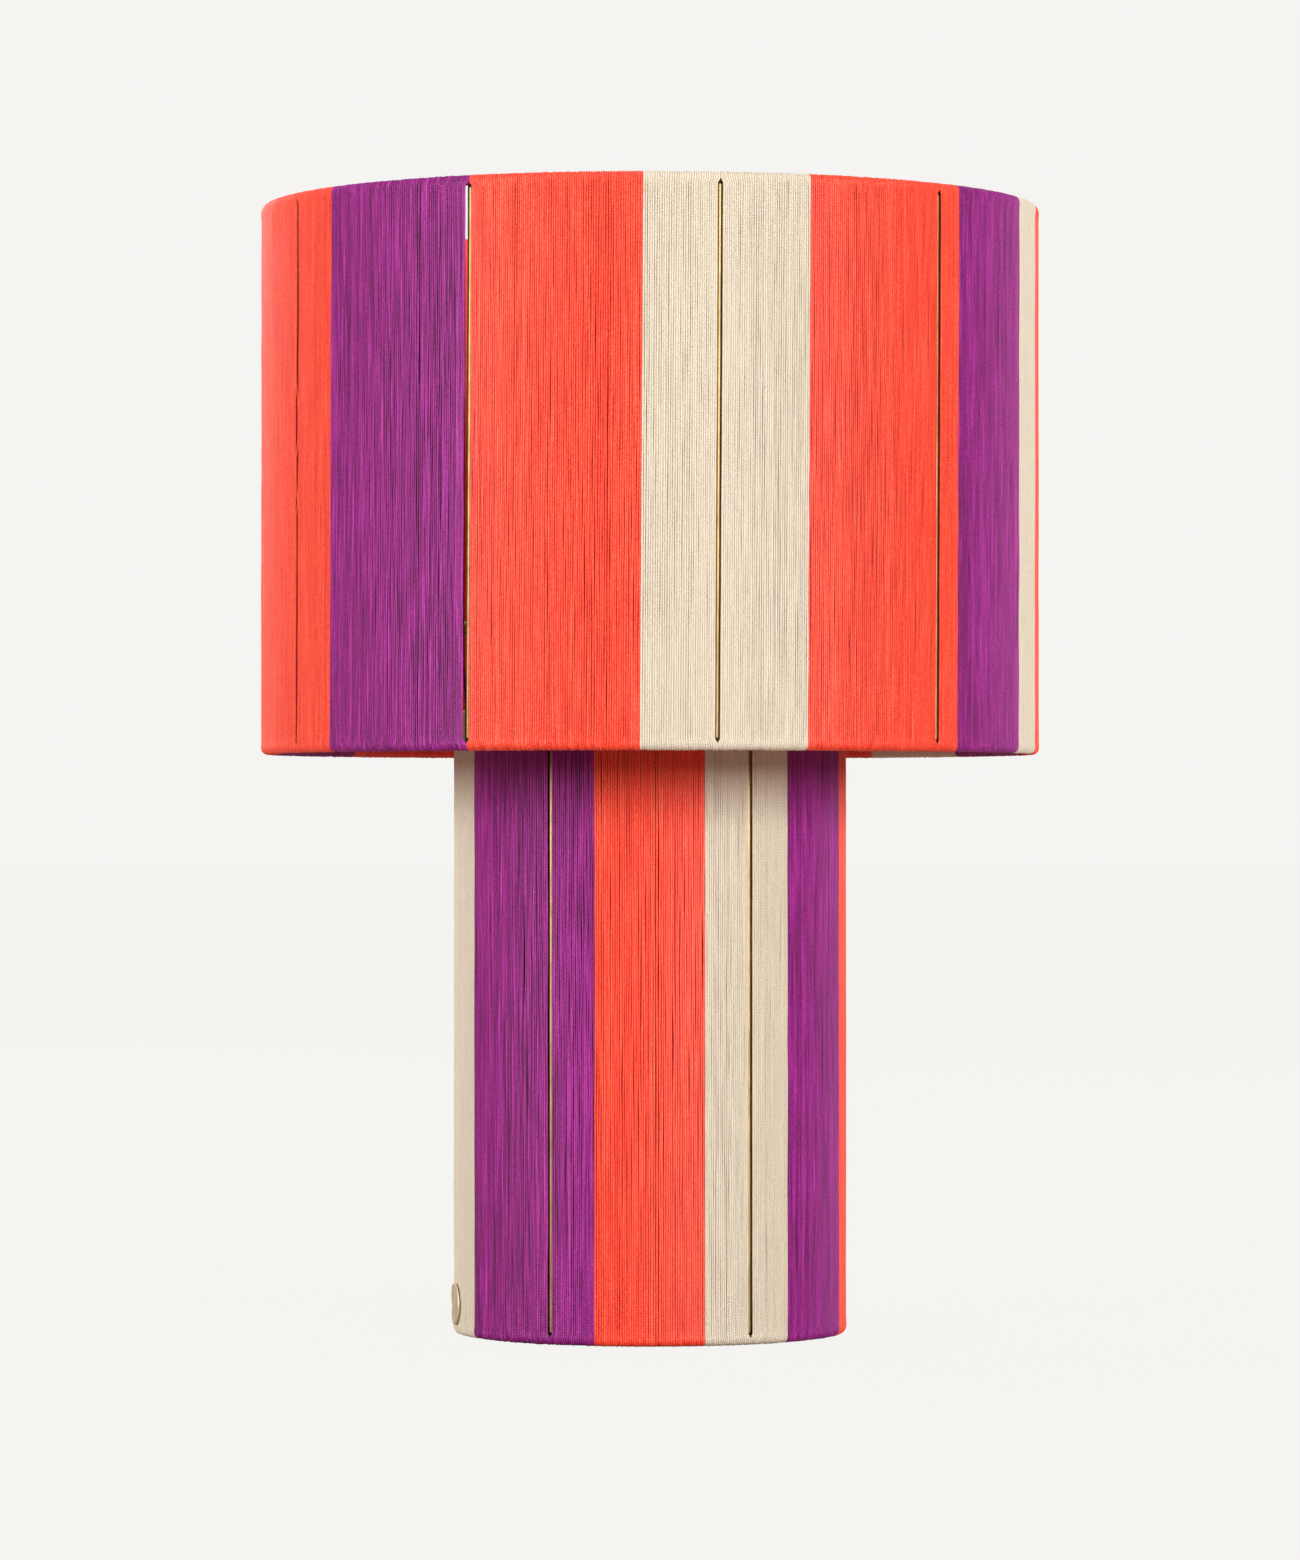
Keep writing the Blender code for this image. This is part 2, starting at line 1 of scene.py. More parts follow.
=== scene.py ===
"""The looks of a table lamp whose drum shade and cylindrical base are wound with bands of yarn.

Metres, +Z up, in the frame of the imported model. Bearings round the lamp are in radians from its front, which
faces -Y, and grow towards its right side, +X.
"""

import json
import math
from collections import namedtuple

import bmesh
import bpy
import numpy as np
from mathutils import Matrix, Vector


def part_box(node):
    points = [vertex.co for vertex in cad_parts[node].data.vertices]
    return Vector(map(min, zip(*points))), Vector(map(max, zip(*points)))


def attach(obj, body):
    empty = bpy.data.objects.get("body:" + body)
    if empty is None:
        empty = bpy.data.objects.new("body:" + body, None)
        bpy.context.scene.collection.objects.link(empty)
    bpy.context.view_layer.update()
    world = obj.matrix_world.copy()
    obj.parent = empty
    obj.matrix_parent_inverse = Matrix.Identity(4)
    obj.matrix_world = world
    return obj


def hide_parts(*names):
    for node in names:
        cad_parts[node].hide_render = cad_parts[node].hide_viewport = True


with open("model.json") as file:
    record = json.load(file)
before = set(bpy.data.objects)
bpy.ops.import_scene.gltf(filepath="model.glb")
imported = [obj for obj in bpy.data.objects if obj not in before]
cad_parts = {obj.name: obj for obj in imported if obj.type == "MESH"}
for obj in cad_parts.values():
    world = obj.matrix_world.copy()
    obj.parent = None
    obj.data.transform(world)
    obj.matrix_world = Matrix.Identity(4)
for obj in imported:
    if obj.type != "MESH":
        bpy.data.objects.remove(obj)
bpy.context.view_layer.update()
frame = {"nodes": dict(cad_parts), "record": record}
slots = {entry["node"]: entry["material_slot"] for entry in frame["record"]["subparts"]}
bodies = {node: body for body, nodes in frame["record"]["behaviour"]["bodies"].items() for node in nodes}

SMOOTH_ANGLE = math.radians(40)

# The yarn, and how evenly it is wound
YARN_PITCH = 0.00087  # from one turn to the next, as wound
BAND_GAP = 0.0003  # what the CAD leaves between two bands, and the yarn closes
YARN_RADIUS = 0.000425
YARN_SIDES = 6
UNEVENNESS = {"coral": 1.0, "purple": 1.6, "cream": 0.5}  # how loosely each colour is wound
SHADE_SEED, BASE_SEED = 100, 200  # of the first band's random numbers
THICKNESS_BY_TURN = 0.03  # share of the radius
THICKNESS_ALONG = 0.05
INNER_SPREAD = 0.16  # the yarn lies flatter on the inner wall and over the rings, and that much wider
RIM_REACH = 0.0016  # about how far along the outer wall it does so, from either ring
STACKING = 0.00005  # how far turns stand out from the ones beside them
SPACING_NOISE = 0.07  # share of the pitch
RING_MATCH = 0.6  # how alike a turn's widths are at the two rings
GAP_CHANCE = 0.09
GAP_WIDTH = 0.22  # mean width of an open gap, as a share of the pitch
STRAYING = 0.00007  # how far a turn strays sideways on its way from ring to ring
STRAY_STEPS, THICKNESS_STEPS, STACKING_STEPS = 5, 3, 9  # in about how many steps each of them changes
OUTER_STEPS = 36  # of a turn's path up the outer wall
INNER_STEPS = 14
END_STEPS = (0.0009, 0.0018, 0.0036)  # extra steps of the outer wall, from the ring
RIM_STEPS = 6
YARN_TAIL = 2  # steps of the path that a yarn's two ends run on inside the drum

# How the yarn looks. Its tone is 0 where it is deepest and 1 where it is palest.
TONE_BY_TURN = 0.03
TONE_BY_THICKNESS = 0.04
# Painted highlight: turns that stand out from the ones beside them are painted paler by this much.
PAINTED_HIGHLIGHT_BY_HEIGHT = 0.03  # of turns that stand out from the ones beside them
FLECKS = ((2600.0, 0.60), (900.0, 0.40), (220.0, 0.20))  # how many to the metre, and how strong
CLOUDS = ((1700.0, 0.95), (38.0, 0.12))  # the same, in space instead of along the yarn
YARN_STOPS = 0.2, 0.5, 0.8  # the tones at which it has its three colours
PLIES = 2
PLY_TWIST = 0.0022  # length of yarn in which a ply goes round once
PLY_RELIEF = 0.35  # against the fibres' relief
FIBRES_ROUND = 9.0
FIBRES_ALONG = 900.0  # to the metre
YARN_RELIEF = 0.00016
GLOSS_RANGE = 0.16  # from the smoothest fibre to the roughest

# How metal and the other materials look
METAL_MARKS, METAL_TARNISH = 60, 120  # the scales of the two patterns
METAL_STOPS = 0.30, 0.62
METAL_GLOSS_RANGE = 0.22
METAL_RELIEF = 0.0001
PLAIN_STOPS = 0.32, 0.66
PLAIN_GLOSS_RANGE = 0.2

# How the yarn parts round what comes through it
PARTING_FALLOFF = 0.0075  # how far off to a side the push is down to about a third
ROD_CLEARANCE = {"shade": -0.00045, "base": -0.0005}  # negative: the yarn lies over the rod's sides
ARM_CLEARANCE = 0.0002
ARM_SEARCH = 10  # how far from a rod its arm is looked for, in radii of the ring's wire
ROD_CLOSING = 0.0020  # from the end of a rod to where the yarn has closed again
ARM_CLOSING = 0.022
BUSHING_CLOSING = 0.016
BARREL_SHARE = 0.75  # of the bushing's flange
SLIT = "shade_upright_10"  # the rod beside which both walls are open
SLIT_WIDTH = 0.00045
SLIT_LAP = 0.0005  # how far the yarn on the slit's other side lies over the rod

ROD_SIDES = 16
ROD_END = ((0, 0.35), (0.12, 0.7), (0.4, 0.93), (0.8, 1))  # its rounding, in the rod's radii
RING_SIDES = 12
RING_STEPS = 144

# The shade's hub
HUB_RADIUS = 0.030
HUB_CORNER = 0.0004  # how far its corners are rounded
HUB_SIDES = 96
WELD_LAP = 0.0010  # of an arm's end over the hub's edge
ARM_SIDES = 16

# Turned parts. Depths are along the radius, and negative towards the axis. A part's rows are the longest
# steps that its section may have.
CORNERS = {  # how far each one's corners are rounded
    "holder_contact": 0.0004,
    "felt_pad": 0.0006,
    "bulb_glass": 0.004,
    "threaded_nipple": 0.0002,
    "holder_cap": 0.0005,
    "holder_body": 0.0003,
    "holder_insulator": 0.0012,
    "bulb_cap": 0.0004,
    "support_ring": 0.0003,
    "retaining_ring": 0.0003,
    "maker_disc": 0.00015,
}
TURNED_STEPS = 96
NIPPLE_STEPS = 64
NIPPLE_PITCH, NIPPLE_DEPTH = 0.001, -0.0006
HOLDER_PITCH, HOLDER_DEPTH = 0.0025, -0.0008
HOLDER_MARGINS = 0.008, 0.001  # of plain wall below the thread and above it
LAMP_PITCH = 0.0036  # of the bulb's thread, and of the one that takes it
SOCKET_DEPTH, SOCKET_MARGIN = 0.0009, 0.009
SCREW_DEPTH, SCREW_LENGTH, SCREW_MARGIN = -0.0011, 0.017, 0.0015
ROWS_PER_TURN = 8
KNURLS, KNURL_DEPTH = 72, -0.0007
ROWS_PER_KNURL = 6
CAP_GROOVES = 0.004, 0.006  # below the cap's top
CAP_GROOVE_DEPTH, CAP_GROOVE_WIDTH, CAP_ROWS = -0.0003, 0.0004, 0.0002
WAIST_DEPTH, WAIST_WIDTH, WAIST_ROWS = -0.0012, 0.0022, 0.0004
DISC_ROWS = 0.001
ONE_PIECE = 1.0  # longer than any wall, so that none is divided
CORNER_SHARE = 0.4  # the most that a corner takes of the wall beside it
ON_WALL = 1e-5  # how near a point's radius is to that of the wall it is on
ON_PLANE = 0.01  # how near its bearing is to that of the section it is on
MERGED, DEGENERATE = 1e-7, 1e-8  # lengths under which points are one, and edges none

# The parts whose CAD shape is kept, with a fine bevel
EDGED = ("holder_carrier", "nipple_locknut", "weight_plate", "cord_bushing")
EDGE_WIDTH = 0.0002
EDGE_STEPS = 2

# The studio
BACKDROP = (0.913, 0.905, 0.888)
SURROUND = 0.23  # how much light comes from all round, beside the backdrop's
SURROUND_COLOUR = (1.0, 0.80, 0.66)
FLOOR_COLOUR = (0.29, 0.215, 0.17)
FLOOR_SIZE = 60
FLOOR_DROP = 0.0002  # below the felt
FLOOR_SHADOW = 0.06  # how much of the lamp's shadow the floor shows
FLOOR_GLOW = 1.045  # brings the floor to the backdrop's brightness
SOFT_BOXES = (  # each one's place, its width and height, and its power in watts
    ("key_light", (1.9, -2.6, 0.92), (2.6, 1.0), 101),
    ("fill_light", (-2.45, -2.1, 0.86), (2.4, 1.0), 74),
    ("back_left_light", (-2.7, 1.6, 0.95), (2.0, 1.6), 62),
    ("back_right_light", (2.3, 2.2, 0.95), (2.0, 1.6), 52),
    ("rear_light", (-1.3, 3.1, 1.1), (1.6, 1.0), 28),
    ("top_light", (0.0, 0.0, 2.2), (1.2, 1.2), 12),
)
WITHOUT_GLARE = ("back_left_light", "back_right_light")  # lights that the lamp doesn't mirror
LIT_POINT = Vector((0, 0, 0.22))  # where all the lights point

CAMERA_PLACE = (0.0, -2.505, 0.1956)
CAMERA_PITCH = math.radians(0.406)  # upwards from level
CAMERA_LENS = 149.7  # mm

OUTER, INNER = 1, -1  # a drum's two walls of yarn

# A wire frame: the radius of its two rings and of their wire, the heights of the two, how far the upper ends
# of its rods are turned against the lower ends, and the rods
Drum = namedtuple("Drum", "name ring wire low high twist rods")
Rod = namedtuple("Rod", "name low high radius")
# Where the yarn of a wall is pushed aside: how far to the left and right, between which heights, and how long
# a stretch it takes to close above and below them
Parting = namedtuple("Parting", "bearing left right low high closing wall")
# The steps of a loop of yarn: how far up the wall each is, how far it has gone from the outside to the
# inside, its direction from the ring's wire, and how many of them a rim has
Path = namedtuple("Path", "share inward radial upward rim_steps")


# ---------------------------------------------------------------- reading the frame


def node_points(name):
    vertices = frame["nodes"][name].data.vertices
    points = np.empty(len(vertices) * 3)
    vertices.foreach_get("co", points)
    return points.reshape(-1, 3)


def bearing_of(points):
    return np.arctan2(points[..., 0], -points[..., 1])


def wrapped(angle):
    return (angle + math.pi) % (2 * math.pi) - math.pi


def named(part):
    """The nodes that have this in their names."""
    return sorted(name for name in frame["nodes"] if part in name)


def read_rod(name):
    """A rod's two ends, each the middle of its end face, and its radius."""
    points = node_points(name)
    middle = points[:, 2].mean()
    low = Vector(points[points[:, 2] < middle].mean(axis=0))
    high = Vector(points[points[:, 2] > middle].mean(axis=0))
    low.z, high.z = points[:, 2].min(), points[:, 2].max()
    across = points[points[:, 2] < middle] - np.array(low)
    return Rod(name, low, high, np.hypot(across[:, 0], across[:, 1]).max())


def read_drum(name):
    """The rings and rods that a winding goes round."""
    upper = node_points(f"{name}_upper_ring")
    lower = node_points(f"{name}_lower_ring")
    radii = np.hypot(upper[:, 0], upper[:, 1])
    rods = [read_rod(rod) for rod in named(f"{name}_upright")]
    low, high = np.array(rods[0].low), np.array(rods[0].high)
    lean = (bearing_of(high) - bearing_of(low)) / (high[2] - low[2])
    z_low, z_high = lower[:, 2].mean(), upper[:, 2].mean()
    ring = (radii.max() + radii.min()) / 2
    wire = (radii.max() - radii.min()) / 2
    return Drum(name, ring, wire, z_low, z_high, lean * (z_high - z_low), rods)


def span_of(name):
    """The bearings where a band of yarn starts and ends."""
    points = node_points(name)
    middle = float(bearing_of(points.mean(axis=0)))
    offsets = wrapped(bearing_of(points) - middle)
    widened = BAND_GAP / 2 / np.hypot(points[:, 0], points[:, 1]).mean()
    return middle + offsets.min() - widened, middle + offsets.max() + widened


# ---------------------------------------------------------------- meshes


def new_piece(name, mesh, node):
    """Links a mesh as the piece that stands for a CAD node: it takes the material of the node's slot, and its
    body.
    """
    mesh.materials.append(looks[slots[node]])
    made = bpy.data.objects.new(name, mesh)
    bpy.context.scene.collection.objects.link(made)
    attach(made, bodies[node])
    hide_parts(node)


def mesh_from(name, points, faces):
    mesh = bpy.data.meshes.new(name)
    mesh.from_pydata(points, [], faces)
    mesh.update()
    mesh.set_sharp_from_angle(angle=SMOOTH_ANGLE)
    return mesh


def tube(centres, outwards, radii, sides, closed=False):
    """Points and faces of a round tube along centres, whose first face looks outwards."""
    centres = np.asarray(centres, float)
    count = len(centres)
    if closed:
        along = np.roll(centres, -1, axis=0) - np.roll(centres, 1, axis=0)
    else:
        along = np.gradient(centres, axis=0)
    along /= np.linalg.norm(along, axis=1, keepdims=True)
    out = np.asarray(outwards, float)
    out = out - (out * along).sum(axis=1, keepdims=True) * along
    out /= np.linalg.norm(out, axis=1, keepdims=True)
    across = np.cross(along, out)
    turn = (np.arange(sides) + 0.5) * 2 * math.pi / sides
    circle = np.cos(turn)[None, :, None] * out[:, None] + np.sin(turn)[None, :, None] * across[:, None]
    points = centres[:, None] + circle * np.asarray(radii, float).reshape(-1, 1, 1)
    rows = np.arange(count if closed else count - 1)
    here = rows[:, None] * sides + np.arange(sides)
    beside = rows[:, None] * sides + (np.arange(sides) + 1) % sides
    following = ((rows + 1) % count)[:, None] * sides
    ahead = following + np.arange(sides)
    ahead_beside = following + (np.arange(sides) + 1) % sides
    faces = np.stack((here, beside, ahead_beside, ahead), axis=-1).reshape(-1, 4).tolist()
    if not closed:
        faces.append(list(range(sides))[::-1])
        faces.append(list(range((count - 1) * sides, count * sides)))
    return points.reshape(-1, 3), faces


# ---------------------------------------------------------------- materials


def node_tree(name):
    """A new material's nodes, links and shader."""
    look = bpy.data.materials.new(name)
    look.use_nodes = True
    tree = look.node_tree
    return look, tree.nodes, tree.links, tree.nodes["Principled BSDF"]


def add_node(nodes, kind, **settings):
    """A new node, with some of its settings or of its inputs, whose names have _ for a space."""
    node = nodes.new(kind)
    for key, value in settings.items():
        if hasattr(node, key):
            setattr(node, key, value)
        else:
            node.inputs[key.replace("_", " ")].default_value = value
    return node


def maths(nodes, links, operation, first, second=None):
    node = nodes.new("ShaderNodeMath")
    node.operation = operation
    for socket, value in zip(node.inputs, (first, second)):
        if isinstance(value, (int, float)):
            socket.default_value = value
        elif value is not None:
            links.new(value, socket)
    return node.outputs[0]


def colour_ramp(nodes, links, factor, stops, colours):
    ramp = nodes.new("ShaderNodeValToRGB")
    elements = ramp.color_ramp.elements
    while len(elements) < len(stops):
        elements.new(0.5)
    for element, place, colour in zip(elements, stops, colours):
        element.position = place
        element.color = (*colour, 1)
    links.new(factor, ramp.inputs["Fac"])
    return ramp.outputs["Color"]


def noise(nodes, links, vector, scale, detail, roughness):
    node = add_node(nodes, "ShaderNodeTexNoise", Scale=scale, Detail=detail, Roughness=roughness)
    links.new(vector, node.inputs["Vector"])
    return node.outputs["Fac"]


def add_noise(nodes, links, tone, place, scale, strength):
    """The tone, with a noise of this strength about zero added to it."""
    flecks = noise(nodes, links, place, scale, 1.0, 0.5)
    flecks = maths(nodes, links, "MULTIPLY", maths(nodes, links, "SUBTRACT", flecks, 0.5), strength)
    return maths(nodes, links, "ADD", tone, flecks)


def varied(nodes, links, pattern, middle, spread):
    """The pattern, from 0 to 1, as a value that keeps to this middle and spreads this far in all."""
    value = maths(nodes, links, "MULTIPLY_ADD", pattern, spread)
    value.node.inputs[2].default_value = middle - spread / 2
    return value


def yarn_look(name, deep, body, pale, mottle, roughness, fuzz, shine):
    """Spun yarn: each turn has its own tone and flecks, and its plies and fibres stand out."""
    look, nodes, links, shader = node_tree(name)
    uv = add_node(nodes, "ShaderNodeUVMap", uv_map="Yarn")
    split = nodes.new("ShaderNodeSeparateXYZ")
    links.new(uv.outputs["UV"], split.inputs[0])
    around, along = split.outputs["X"], split.outputs["Y"]

    tone = add_node(nodes, "ShaderNodeAttribute", attribute_name="tone").outputs["Fac"]
    for scale, strength in FLECKS:
        place = nodes.new("ShaderNodeCombineXYZ")
        links.new(maths(nodes, links, "MULTIPLY", along, scale), place.inputs["X"])
        links.new(maths(nodes, links, "MULTIPLY", around, scale * YARN_RADIUS * 2), place.inputs["Y"])
        tone = add_noise(nodes, links, tone, place.outputs[0], 1.0, mottle * strength)
    place = nodes.new("ShaderNodeTexCoord").outputs["Object"]
    for scale, strength in CLOUDS:
        tone = add_noise(nodes, links, tone, place, scale, mottle * strength)
    colour = colour_ramp(nodes, links, tone, YARN_STOPS, (deep, body, pale))
    links.new(colour, shader.inputs["Base Color"])

    turns = maths(nodes, links, "DIVIDE", along, PLY_TWIST)
    phase = maths(nodes, links, "ADD", around, turns)
    plies = maths(nodes, links, "SINE", maths(nodes, links, "MULTIPLY", phase, PLIES * 2 * math.pi))
    fibre_place = nodes.new("ShaderNodeCombineXYZ")
    links.new(maths(nodes, links, "MULTIPLY", phase, FIBRES_ROUND), fibre_place.inputs["X"])
    links.new(maths(nodes, links, "MULTIPLY", along, FIBRES_ALONG), fibre_place.inputs["Y"])
    fibres = noise(nodes, links, fibre_place.outputs[0], 1.0, 3.0, 0.65)
    height = maths(nodes, links, "ADD", maths(nodes, links, "MULTIPLY", plies, PLY_RELIEF), fibres)
    bump = add_node(nodes, "ShaderNodeBump", Strength=0.7, Distance=YARN_RELIEF)
    links.new(height, bump.inputs["Height"])
    links.new(bump.outputs["Normal"], shader.inputs["Normal"])

    links.new(varied(nodes, links, fibres, roughness, GLOSS_RANGE), shader.inputs["Roughness"])
    shader.inputs["Specular IOR Level"].default_value = 1.0
    shader.inputs["Specular Tint"].default_value = (*shine, 1)
    shader.inputs["Sheen Weight"].default_value = fuzz
    shader.inputs["Sheen Roughness"].default_value = 0.5
    return look


def metal_look(name, colour, tarnished, roughness, grain=(60, 60, 4), bump=0.10):
    """Drawn or turned metal, with fine marks along its grain and a faint tarnish."""
    look, nodes, links, shader = node_tree(name)
    place = nodes.new("ShaderNodeTexCoord").outputs["Object"]
    stretched = add_node(nodes, "ShaderNodeMapping", Scale=grain)
    links.new(place, stretched.inputs["Vector"])
    marks = noise(nodes, links, stretched.outputs["Vector"], METAL_MARKS, 4.0, 0.6)
    tarnish = noise(nodes, links, place, METAL_TARNISH, 3.0, 0.55)
    tinted = colour_ramp(nodes, links, tarnish, METAL_STOPS, (tarnished, colour))
    links.new(tinted, shader.inputs["Base Color"])
    links.new(varied(nodes, links, marks, roughness, METAL_GLOSS_RANGE), shader.inputs["Roughness"])
    relief = add_node(nodes, "ShaderNodeBump", Strength=bump, Distance=METAL_RELIEF)
    links.new(marks, relief.inputs["Height"])
    links.new(relief.outputs["Normal"], shader.inputs["Normal"])
    shader.inputs["Metallic"].default_value = 1.0
    return look


def plain_look(name, colour, dark, roughness, scale, bump, depth=0.0001):
    """A matt or glazed material with a fine mottle in its colour, its gloss and its surface."""
    look, nodes, links, shader = node_tree(name)
    place = nodes.new("ShaderNodeTexCoord").outputs["Object"]
    mottle = noise(nodes, links, place, scale, 4.0, 0.6)
    links.new(colour_ramp(nodes, links, mottle, PLAIN_STOPS, (dark, colour)), shader.inputs["Base Color"])
    links.new(varied(nodes, links, mottle, roughness, PLAIN_GLOSS_RANGE), shader.inputs["Roughness"])
    relief = add_node(nodes, "ShaderNodeBump", Strength=bump, Distance=depth)
    links.new(mottle, relief.inputs["Height"])
    links.new(relief.outputs["Normal"], shader.inputs["Normal"])
    return look


looks = {
    "coral_yarn": yarn_look(
        "coral_yarn",
        deep=(0.70, 0.008, 0.002),
        body=(0.915, 0.048, 0.012),
        pale=(0.97, 0.135, 0.06),
        mottle=0.7,
        roughness=0.50,
        fuzz=0.06,
        shine=(1.0, 0.9, 0.85),
    ),
    "purple_yarn": yarn_look(
        "purple_yarn",
        deep=(0.088, 0.001, 0.064),
        body=(0.262, 0.004, 0.196),
        pale=(0.49, 0.03, 0.38),
        mottle=0.5,
        roughness=0.50,
        fuzz=0.03,
        shine=(0.9, 0.5, 0.8),
    ),
    "cream_yarn": yarn_look(
        "cream_yarn",
        deep=(0.55, 0.47, 0.355),
        body=(0.70, 0.62, 0.49),
        pale=(0.80, 0.745, 0.62),
        mottle=0.5,
        roughness=0.60,
        fuzz=0.2,
        shine=(1.0, 1.0, 1.0),
    ),
    "frame_brass": metal_look(
        "frame_brass", colour=(0.54, 0.38, 0.17), tarnished=(0.38, 0.25, 0.09), roughness=0.50
    ),
    "holder_brass": metal_look(
        "holder_brass",
        colour=(0.83, 0.62, 0.30),
        tarnished=(0.70, 0.50, 0.22),
        roughness=0.25,
        grain=(40, 40, 40),
        bump=0.05,
    ),
    "disc_brass": metal_look(
        "disc_brass",
        colour=(0.97, 0.88, 0.68),
        tarnished=(0.91, 0.80, 0.57),
        roughness=0.60,
        grain=(60, 60, 60),
        bump=0.05,
    ),
    "locknut_steel": metal_look(
        "locknut_steel", colour=(0.60, 0.61, 0.62), tarnished=(0.48, 0.49, 0.5), roughness=0.35
    ),
    "weight_steel": metal_look(
        "weight_steel",
        colour=(0.50, 0.51, 0.52),
        tarnished=(0.36, 0.37, 0.38),
        roughness=0.45,
        grain=(30, 30, 30),
    ),
    "bulb_cap_nickel": metal_look(
        "cap_nickel",
        colour=(0.72, 0.71, 0.68),
        tarnished=(0.6, 0.59, 0.56),
        roughness=0.25,
        grain=(20, 20, 60),
    ),
    "insulator_ceramic": plain_look(
        "porcelain", colour=(0.86, 0.84, 0.79), dark=(0.80, 0.77, 0.71), roughness=0.25, scale=400, bump=0.05
    ),
    "bulb_opal_glass": plain_look(
        "opal_glass", colour=(0.93, 0.92, 0.89), dark=(0.89, 0.88, 0.85), roughness=0.18, scale=60, bump=0.02
    ),
    "felt": plain_look(
        "felt",
        colour=(0.035, 0.035, 0.036),
        dark=(0.012, 0.012, 0.013),
        roughness=0.95,
        scale=2600,
        bump=0.8,
        depth=0.0004,
    ),
    "bushing_plastic": plain_look(
        "bushing", colour=(0.10, 0.055, 0.03), dark=(0.07, 0.038, 0.02), roughness=0.4, scale=1500, bump=0.15
    ),
}


# ---------------------------------------------------------------- the winding


def partings_of(drum):
    """Where the yarn goes round a rod, an arm or a fitting."""
    found = []
    for rod in drum.rods:
        middle = float(bearing_of(np.array((rod.low + rod.high) / 2)))
        room = rod.radius + YARN_RADIUS + ROD_CLEARANCE[drum.name]
        if rod.name == SLIT:
            found += slit_partings(drum, rod, middle)
        else:
            found.append(Parting(middle, room, room, rod.low.z, rod.high.z, ROD_CLOSING, OUTER))
        for node in ("shade_spider", "holder_carrier", "weight_plate"):
            found += arm_parting(drum, middle, node)
    if drum.name == "base":
        low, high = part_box("cord_bushing")
        room = (high.x - low.x) / 2 * BARREL_SHARE
        middle = float(bearing_of(np.array((low + high) / 2)))
        height = (low.z + high.z) / 2
        bottom, top = height - room / 2, height + room / 2
        found += [Parting(middle, room, room, bottom, top, BUSHING_CLOSING, wall) for wall in (OUTER, INNER)]
    return found


def slit_partings(drum, rod, middle):
    """The opening on the left of one rod. From the front, it lets one see through both walls."""
    left = rod.radius + YARN_RADIUS + SLIT_WIDTH
    right = rod.radius + YARN_RADIUS - SLIT_LAP
    outer = Parting(middle, left, right, rod.low.z, rod.high.z, ROD_CLOSING, OUTER)
    between_walls = 2 * (drum.wire + YARN_RADIUS)
    along = between_walls * math.tan(middle) - rod.radius - SLIT_WIDTH / 2
    half = SLIT_WIDTH / 2 + YARN_RADIUS
    inner = Parting(middle + along / drum.ring, half, half, rod.low.z, rod.high.z, ARM_CLOSING, INNER)
    return [outer, inner]


def arm_parting(drum, middle, node):
    """The parting where an arm or a tab of this node reaches through the inner wall to a rod, if one does."""
    points = node_points(node)
    radii = np.hypot(points[:, 0], points[:, 1])
    offsets = wrapped(bearing_of(points) - middle) * drum.ring
    reach = drum.ring - drum.wire - YARN_RADIUS
    ends = (radii > reach) & (radii < drum.ring) & (np.abs(offsets) < ARM_SEARCH * drum.wire)
    if not ends.any():
        return []
    room = np.abs(offsets[ends]).max() + ARM_CLEARANCE
    low, high = points[ends, 2].min(), points[ends, 2].max()
    return [Parting(middle, room, room, low, high, ARM_CLOSING, INNER)]


def profile(parting, z):
    """How far open a parting is at height z, from 0 to 1."""
    below = (z - (parting.low - parting.closing)) / parting.closing
    above = (parting.high + parting.closing - z) / parting.closing
    opened = np.clip(np.minimum(below, above), 0, 1)
    return opened * opened * (3 - 2 * opened)


def smooth_noise(random, count, width):
    """Random numbers that change over about this many steps, with a spread of 1."""
    window = np.hanning(width + 2)[1:-1]
    values = np.convolve(random.standard_normal(count + width), window, "same")[:count]
    return values / np.sqrt((window**2).sum())


def uneven(random, count, looseness):
    """Widths of the spaces between turns, as shares of the pitch, some of them gaps."""
    gaps = random.random(count) < GAP_CHANCE
    widths = 1 + looseness * SPACING_NOISE * random.standard_normal(count)
    return widths + looseness * gaps * random.exponential(GAP_WIDTH, count)


def turns_on_rings(random, start, end, loops, looseness):
    """The bearing of each turn on the lower ring and on the upper one. The second turn is at the start."""
    shared = uneven(random, loops, looseness)
    places = []
    for _ in ("lower", "upper"):
        widths = RING_MATCH * shared + (1 - RING_MATCH) * uneven(random, loops, looseness)
        edges = np.concatenate(([0], np.cumsum(widths)))
        middles = (edges[1:] + edges[:-1]) / 2
        middles = (middles - edges[1]) / (edges[-1] - edges[1])
        places.append(start + middles * (end - start))
    return places


def path_of_loop(height):
    """One loop of yarn round a drum's wall: up the outside, over the ring, down the inside and back out."""
    ends = np.array((0, *END_STEPS)) / height
    between = np.linspace(ends[-1], 1 - ends[-1], OUTER_STEPS + 1)[1:-1]
    outside = np.concatenate((ends, between, 1 - ends[::-1]))
    inside = np.linspace(1, 0, INNER_STEPS + 1)
    arc = np.linspace(0, math.pi, RIM_STEPS + 1)[1:-1]
    up, down = np.zeros(len(outside)), np.zeros(len(inside))
    share = np.concatenate((outside, np.ones(len(arc)), inside, np.zeros(len(arc))))
    inward = np.concatenate((up, arc / math.pi, down + 1, 1 - arc / math.pi))
    radial = np.concatenate((up + 1, np.cos(arc), down - 1, -np.cos(arc)))
    upward = np.concatenate((up, np.sin(arc), down, -np.sin(arc)))
    return Path(share, inward, radial, upward, len(arc))


